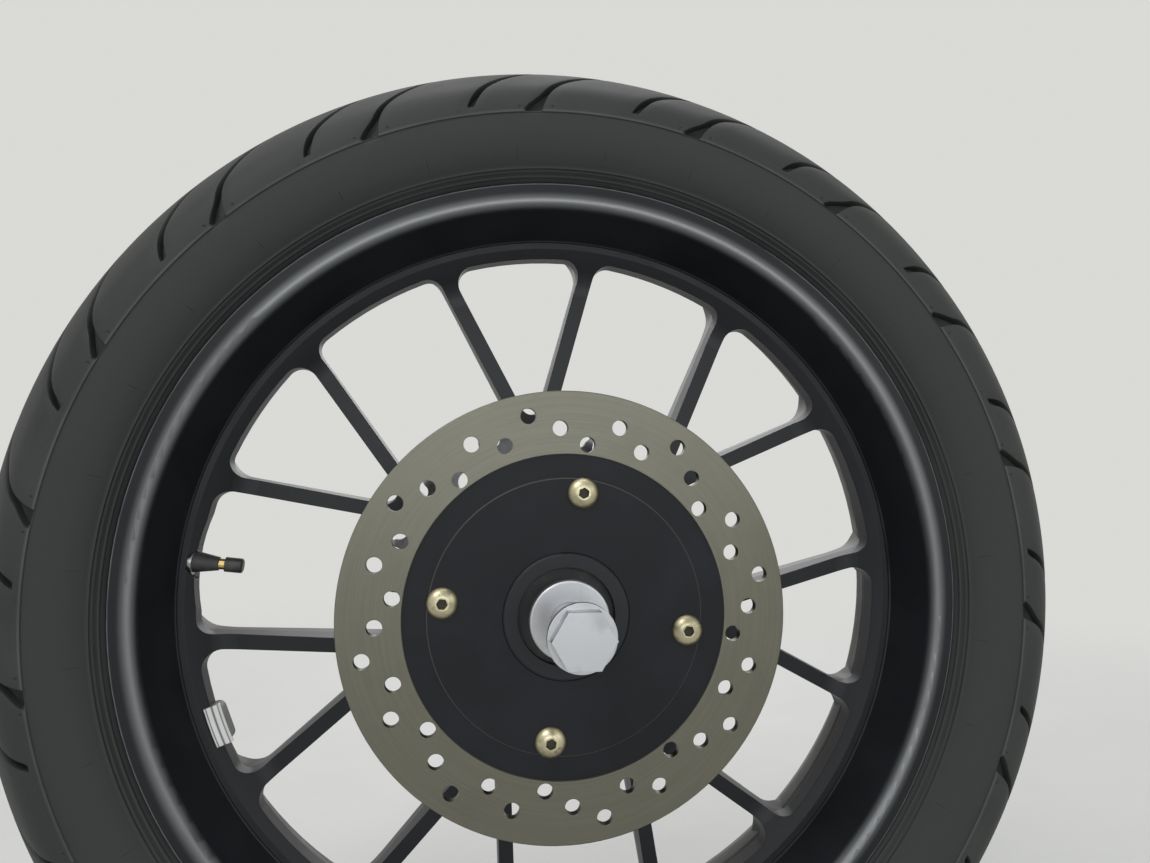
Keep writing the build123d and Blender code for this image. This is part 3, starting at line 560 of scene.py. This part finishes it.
def disc_finish(colours):
    """Brake disc: band brushed in circles, scored by the pads, and a black painted centre."""
    f = Finish("disc_steel")
    fine = f.noise(1.0, 2.0, 0.5, f.turned(3.0, 5200.0, 0.0))
    coarse = f.noise(1.0, 3.0, 0.6, f.turned(1.5, 900.0, 0.0))
    cloud = f.noise(30.0, 4.0)
    swept = f.step(f.radius, DISC_BAND_RADIUS, DISC_BAND_RADIUS + 0.0004)
    band = f.mix(f.step(coarse, 0.3, 0.7), tone(colours.disc, 0.86), colours.disc)
    band = f.mix(f.step(cloud, 0.45, 0.8) * 0.3, band, tone(colours.disc, 0.7))
    dark = f.mix(f.step(cloud, 0.4, 0.75) * 0.4, colours.paint, tone(colours.paint, 2.2))
    # painted highlight: a paler ring on the black centre's stepped ring, and a paler line of worn
    # paint and painted highlight at the swept band's edge
    wear_and_highlight = f.near(f.radius, DISC_RING_HIGHLIGHT_RADIUS, 0.0005)
    wear_and_highlight = wear_and_highlight + f.near(f.radius, DISC_BAND_RADIUS, 0.0004) * 0.4
    dark = f.mix(wear_and_highlight * 0.45, dark, colours.disc)
    body = f.mix(swept, dark, band)
    rough = 0.44 + coarse * 0.10 - swept * 0.08
    score = (fine - 0.5) * swept * 0.9 + coarse * 0.3
    normal = f.bump(score, 0.00004, f.edge(0.0004))
    return f.done(
        Base_Color=body, Roughness=rough, Metallic=swept * 0.92, Normal=normal,
        Specular_IOR_Level=0.2,
    )


def bolt_finish(colours, centre, count, head_face):
    """Disc bolt: yellow zinc plate, with shade and dirt down in the hexagon socket.

    The bolts share one finish, so the clock angle is folded to the one bolt that it belongs to,
    which gives the distance from that bolt's own axis.
    """
    f = Finish("zinc_yellow")
    step = 2 * math.pi / count
    circle = math.hypot(centre.x, centre.z)
    offset = f.add("ShaderNodeMath", {"operation": "WRAP"}, {
        0: f.angle - math.atan2(centre.z, centre.x), 1: step / 2, 2: -step / 2,
    })
    east = f.radius * offset.math("COSINE") - circle
    north = f.radius * offset.math("SINE")
    reach = (east * east + north * north).math("SQRT")
    cloud = f.noise(240.0, 3.0)
    tint = f.noise(90.0, 2.0)
    body = f.mix(f.step(tint, 0.35, 0.65), colours.zinc, tone(colours.zinc, 0.72))
    body = f.mix(f.step(cloud, 0.55, 0.75) * 0.5, body, colours.zinc_stain)
    inside = f.step(reach, SOCKET_RADIUS, SOCKET_RADIUS + 0.0004, 1.0, 0.0)
    inside = inside * f.step(f.y, head_face, head_face + 0.001)
    # painted shade and dirt: the socket is darkened down inside the hexagon
    body = f.mix(inside * 0.9, body, colours.socket_shade_and_dirt)
    rough = 0.30 + cloud * 0.15 + inside * 0.3
    normal = f.bump(cloud, 0.00004, f.edge(0.0003))
    return f.done(Base_Color=body, Roughness=rough, Metallic=1.0 - inside * 0.6, Normal=normal)


def steel_finish(name, base, colours, rough=0.3, grime=0.3, thread=None, pitch=0.00125):
    """Plated or bare steel: turning marks round the axle, stains, and a thread where asked."""
    f = Finish(name)
    cloud = f.noise(55.0, 4.0)
    marks = f.noise(1.0, 2.0, 0.5, f.turned(4.0, 3600.0, 3600.0))
    stain = f.step(cloud, 0.5, 0.78) * grime
    body = f.mix(marks * 0.3, base, tone(base, 0.72))
    body = f.mix(stain, body, colours.steel_stain)
    relief = marks * 0.25
    depth = 0.00004
    if thread:
        low, high = thread
        place = f.y + MIDDLE
        cut = f.step(place, low, low + 0.0004) * f.step(place, high - 0.0004, high, 1.0, 0.0)
        wave = (place * (2 * math.pi / pitch)).math("SINE")
        relief = relief * 0.1 + wave * cut * 0.5
        # the roots of the thread are darker
        body = f.mix(cut * f.step(wave, -0.2, -0.9) * 0.8, body, colours.thread_root_dark)
        depth = 0.0005
    normal = f.bump(relief, depth, f.edge(0.0004))
    return f.done(Base_Color=body, Roughness=rough + cloud * 0.18, Metallic=1.0, Normal=normal)


def sprocket_finish(colours):
    """Chain sprocket: satin plate, teeth polished by the chain, and grease between them."""
    f = Finish("sprocket_steel")
    cloud = f.noise(38.0, 4.0)
    marks = f.noise(1.0, 2.0, 0.5, f.turned(4.0, 3000.0, 3000.0))
    oily = f.near(f.radius, CHAIN_RADIUS, 0.012) * f.step(cloud, 0.3, 0.6)
    body = f.mix(marks * 0.4, tone(colours.steel, 0.62), tone(colours.steel, 0.9))
    body = f.mix(oily * 0.85, body, colours.grease)
    tip = f.step(f.radius, TOOTH_TIP_RADIUS, TOOTH_TIP_RADIUS + 0.003)
    body = f.mix(tip * 0.8, body, tone(colours.steel, 1.35))
    rough = 0.36 + oily * 0.25 - tip * 0.14
    normal = f.bump(marks * 0.3 + cloud * 0.5, 0.00006, f.edge(0.0004))
    return f.done(Base_Color=body, Roughness=rough, Metallic=1.0 - oily * 0.7, Normal=normal)


def soft_finish(name, base, colours, rough, collar=None):
    """Moulded rubber or plastic: fine grain, dust, and metal beyond the collar's radius."""
    f = Finish(name)
    cloud = f.noise(60.0, 3.0)
    grain = f.noise(2200.0, 2.0)
    body = f.mix(f.step(cloud, 0.45, 0.8) * 0.6, base, colours.moulded_dust)
    metallic = 0.0
    roughness = rough + cloud * 0.15
    if collar:
        tip = f.step(f.radius, collar, collar + 0.0004)
        body = f.mix(tip, body, colours.valve_collar)
        metallic = tip * 0.9
        roughness = roughness - tip * 0.3
    return f.done(
        Base_Color=body, Roughness=roughness, Metallic=metallic, Normal=f.bump(grain, 0.00005)
    )


def weight_finish(colours):
    """Balance weight: grey-green body inside the rib and a bright clip, darker beside its ridges.
    """
    f = Finish("weight_zinc")
    cloud = f.noise(120.0, 4.0)
    clip = f.step(f.y, WEIGHT_CLIP_PLACE, WEIGHT_CLIP_PLACE + 0.0002, 1.0, 0.0)
    body = f.mix(f.step(cloud, 0.4, 0.7), colours.weight_dark, colours.weight_pale)
    body = f.mix(clip, body, f.mix(cloud, colours.clip_dark, colours.clip_pale))
    beside_ridges = ((0.2003, 0.0006), (0.20365, 0.0011), (0.2070, 0.0006))
    # bands beside the clip's ridges are darker
    by_ridges_dark = sum(f.near(f.radius, centre, half) for centre, half in beside_ridges)
    body = f.mix(by_ridges_dark * clip * 0.85, body, colours.clip_ridge_dark)
    rough = 0.46 + cloud * 0.12 - clip * 0.2
    normal = f.bump(cloud, 0.0001, f.edge(0.0006))
    return f.done(Base_Color=body, Roughness=rough, Metallic=clip * 0.75 + 0.2, Normal=normal)


def floor_finish(colours):
    """Studio floor: pale, with a faint grain, and in the distance the backdrop's own colour.

    The far part glows only for the camera, glossy and transmission rays, so it lights nothing.
    """
    f = Finish("studio_floor")
    grain = f.noise(9.0, 5.0)
    body = f.mix(f.step(grain, 0.3, 0.7), colours.floor, tone(colours.floor, 0.975))
    camera, glossy, through = (
        f.add("ShaderNodeLightPath", {}, {}, f"Is {ray} Ray")
        for ray in ("Camera", "Glossy", "Transmission")
    )
    distance = (f.x * f.x + f.y * f.y).math("SQRT")
    far = f.step(distance, 0.5, 2.1) * camera.math("MAXIMUM", glossy).math("MAXIMUM", through)
    glow = f.add("ShaderNodeEmission", {}, {0: (*colours.backdrop, 1.0)})
    surface = f.add("ShaderNodeMixShader", {}, {0: far, 1: f.shader.outputs[0], 2: glow})
    f.tree.links.new(surface.socket, f.tree.nodes["Material Output"].inputs["Surface"])
    return f.done(Base_Color=body, Roughness=0.7, Normal=f.bump(f.noise(260.0, 3.0), 0.0003))


class WHEEL_OT_tyre(bpy.types.Operator):
    """Make the tyre with its treaded crown, and show it in place of the part's plain tyre"""

    bl_idname = "wheel.tyre"
    bl_label = "Tyre"

    def execute(self, context):
        sizes, colours = context.scene.wheel_sizes, context.scene.wheel_colours
        points, share, across, phase = tyre_points(sizes)
        piece = ring_mesh("treaded_tyre", points)
        attribute(piece, "groove", share)
        attribute(piece, "across", across)
        attribute(piece, "phase", phase)
        piece.data.materials.append(rubber_finish(colours))
        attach(piece, "wheel")
        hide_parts("tyre")
        return {"FINISHED"}


class WHEEL_OT_casting(bpy.types.Operator):
    """Paint the cast wheel and the sprocket carrier"""

    bl_idname = "wheel.casting"
    bl_label = "Casting and carrier"

    def execute(self, context):
        sizes, colours = context.scene.wheel_sizes, context.scene.wheel_colours
        wheel = paint_finish("wheel_black", tuple(colours.paint), colours, sizes, dusty=1.0)
        dress(wheel, "cast_wheel")
        carrier = paint_finish("carrier_black", tone(colours.paint, 1.6), colours, sizes)
        dress(carrier, "sprocket_carrier")
        return {"FINISHED"}


class WHEEL_OT_brake(bpy.types.Operator):
    """Finish the brake disc and its bolts"""

    bl_idname = "wheel.brake"
    bl_label = "Brake disc and bolts"

    def execute(self, context):
        colours = context.scene.wheel_colours
        dress(disc_finish(colours), "brake_disc")
        bolts = [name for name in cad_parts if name.startswith("disc_bolt_")]
        low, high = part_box(bolts[0])
        dress(bolt_finish(colours, (low + high) / 2, len(bolts), low.y - MIDDLE), *bolts)
        return {"FINISHED"}


class WHEEL_OT_drive(bpy.types.Operator):
    """Finish the chain sprocket with its studs and nuts"""

    bl_idname = "wheel.drive"
    bl_label = "Sprocket, studs and nuts"

    def execute(self, context):
        colours = context.scene.wheel_colours
        dress(sprocket_finish(colours), "sprocket")
        studs = [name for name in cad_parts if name.startswith("sprocket_stud_")]
        nuts = [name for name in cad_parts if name.startswith("sprocket_nut_")]
        low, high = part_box(studs[0])
        bright = tone(colours.steel, 1.15)
        dress(steel_finish("stud_steel", bright, colours, thread=(low.y, high.y)), *studs)
        dress(steel_finish("nut_steel", bright, colours, rough=0.26), *nuts)
        return {"FINISHED"}


class WHEEL_OT_axle(bpy.types.Operator):
    """Finish the axle, its nut, washer and collars, the bearings and the seals"""

    bl_idname = "wheel.axle"
    bl_label = "Axle and bearings"

    def execute(self, context):
        colours = context.scene.wheel_colours
        steel = tuple(colours.steel)
        thread = (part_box("axle_nut")[0].y - 0.006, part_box("axle")[1].y)
        axle = steel_finish("axle_thread", steel, colours, thread=thread, pitch=0.0015)
        dress(axle, "axle")
        plated = steel_finish("axle_steel", steel, colours)
        dress(plated, "axle_nut", "axle_washer", "collar_right", "collar_left")
        rings = [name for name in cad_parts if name.startswith("bearing_")]
        bright = steel_finish("bright_steel", tone(steel, 1.2), colours, rough=0.16, grime=0.1)
        dress(bright, *rings)
        rubber = soft_finish("seal_rubber", tuple(colours.black_rubber), colours, 0.55)
        dress(rubber, "seal_right", "seal_left")
        return {"FINISHED"}


class WHEEL_OT_valve(bpy.types.Operator):
    """Finish the valve and the balance weight"""

    bl_idname = "wheel.valve"
    bl_label = "Valve and balance weight"

    def execute(self, context):
        colours = context.scene.wheel_colours
        black = tuple(colours.black_rubber)
        dress(soft_finish("valve_rubber", black, colours, 0.5, VALVE_COLLAR_RADIUS), "valve_stem")
        neck = steel_finish("valve_brass", tuple(colours.brass), colours, rough=0.24, grime=0.4)
        dress(neck, "valve_neck")
        dress(soft_finish("cap_plastic", tone(black, 0.8), colours, 0.4), "valve_cap")
        dress(weight_finish(colours), "balance_weight")
        return {"FINISHED"}


class WHEEL_OT_stage(bpy.types.Operator):
    """Lay the floor, and set the lamps, the world and the camera"""

    bl_idname = "wheel.stage"
    bl_label = "Stage"

    def execute(self, context):
        scene = context.scene
        low = -TYRE_RADIUS
        size = 9.0
        mesh = bpy.data.meshes.new("studio_floor")
        corners = [(-size, -size, low), (size, -size, low), (size, size, low), (-size, size, low)]
        mesh.from_pydata(corners, [], [(0, 1, 2, 3)])
        floor = bpy.data.objects.new("studio_floor", mesh)
        scene.collection.objects.link(floor)
        floor.data.materials.append(floor_finish(scene.wheel_colours))

        world = bpy.data.worlds.new("studio")
        world.use_nodes = True
        scene.world = world
        tree = world.node_tree
        dim = tree.nodes["Background"]
        dim.inputs["Color"].default_value = (*scene.wheel_colours.ambient, 1.0)
        pale = tree.nodes.new("ShaderNodeBackground")
        pale.inputs["Color"].default_value = (*scene.wheel_colours.backdrop, 1.0)
        path = tree.nodes.new("ShaderNodeLightPath")
        blend = tree.nodes.new("ShaderNodeMixShader")
        seen = path.outputs["Is Camera Ray"]
        for other in ("Is Glossy Ray", "Is Transmission Ray"):
            both = tree.nodes.new("ShaderNodeMath")
            both.operation = "MAXIMUM"
            tree.links.new(seen, both.inputs[0])
            tree.links.new(path.outputs[other], both.inputs[1])
            seen = both.outputs[0]
        tree.links.new(seen, blend.inputs[0])
        tree.links.new(dim.outputs[0], blend.inputs[1])
        tree.links.new(pale.outputs[0], blend.inputs[2])
        tree.links.new(blend.outputs[0], tree.nodes["World Output"].inputs["Surface"])

        aim = Vector((0.0, 0.1, 0.0))
        white, cool = (1.0, 1.0, 1.0), (0.85, 0.93, 1.0)
        lamps = (
            ("key", (-1.1, -1.3, 1.9), 1.2, 1.2, 21.0, white),
            ("fill", (1.7, -1.3, 0.7), 1.2, 1.2, 4.0, white),
            ("front", (0.1, -2.5, 0.40), 2.4, 0.8, 17.0, cool),
            ("top", (0.1, 0.4, 1.9), 1.6, 1.6, 13.0, white),
            ("far", (0.3, 1.9, 0.8), 1.6, 1.6, 10.0, white),
        )
        for name, place, width, height, power, tint in lamps:
            lamp = bpy.data.lights.new(name, "AREA")
            lamp.shape = "ELLIPSE"
            lamp.size = width
            lamp.size_y = height
            lamp.energy = power
            lamp.color = tint
            holder = bpy.data.objects.new(name, lamp)
            away = Vector(place) - aim
            turn = away.to_track_quat("Z", "Y").to_matrix().to_4x4()
            holder.matrix_world = Matrix.Translation(place) @ turn
            scene.collection.objects.link(holder)

        # the photograph's own camera, solved from points on the rim, the disc and the spokes
        camera = bpy.data.cameras.new("camera")
        camera.sensor_fit = "HORIZONTAL"
        camera.sensor_width = 36.0
        camera.lens = 27.67
        holder = bpy.data.objects.new("camera", camera)
        ahead = Vector((0.14055, 0.98971, 0.02702)).normalized()
        right = Vector((0.99006, -0.14063, 0.00120)).normalized()
        up = right.cross(ahead)
        turn = Matrix((right, up, -ahead)).transposed().to_4x4()
        holder.matrix_world = Matrix.Translation((-0.06196, -0.45262, 0.08545)) @ turn
        scene.collection.objects.link(holder)
        scene.camera = holder
        scene.view_settings.view_transform = "Standard"
        return {"FINISHED"}


class WHEEL_PT_panel(bpy.types.Panel):
    """Panel that lists the wheel's steps, sizes and colours"""

    bl_idname = "WHEEL_PT_panel"
    bl_label = "Motorcycle rear wheel"
    bl_space_type = "VIEW_3D"
    bl_region_type = "UI"
    bl_category = "Wheel"

    def draw(self, context):
        for group in (context.scene.wheel_sizes, context.scene.wheel_colours):
            box = self.layout.box()
            for name in group.__annotations__:
                box.prop(group, name)
        for step in STEPS:
            self.layout.operator(step.bl_idname)


STEPS = (
    WHEEL_OT_tyre, WHEEL_OT_casting, WHEEL_OT_brake, WHEEL_OT_drive, WHEEL_OT_axle, WHEEL_OT_valve,
    WHEEL_OT_stage,
)
CLASSES = (WheelSizes, WheelColours, *STEPS, WHEEL_PT_panel)


def register():
    """Add the classes, and the sizes and colours of each scene."""
    for cls in CLASSES:
        bpy.utils.register_class(cls)
    bpy.types.Scene.wheel_sizes = PointerProperty(type=WheelSizes)
    bpy.types.Scene.wheel_colours = PointerProperty(type=WheelColours)


def unregister():
    """Take them away again, in the other order."""
    del bpy.types.Scene.wheel_colours
    del bpy.types.Scene.wheel_sizes
    for cls in reversed(CLASSES):
        bpy.utils.unregister_class(cls)


def main():
    """Make every piece and finish in order."""
    register()
    for step in STEPS:
        group, name = step.bl_idname.split(".")
        getattr(getattr(bpy.ops, group), name)()


if __name__ == "__main__":
    main()
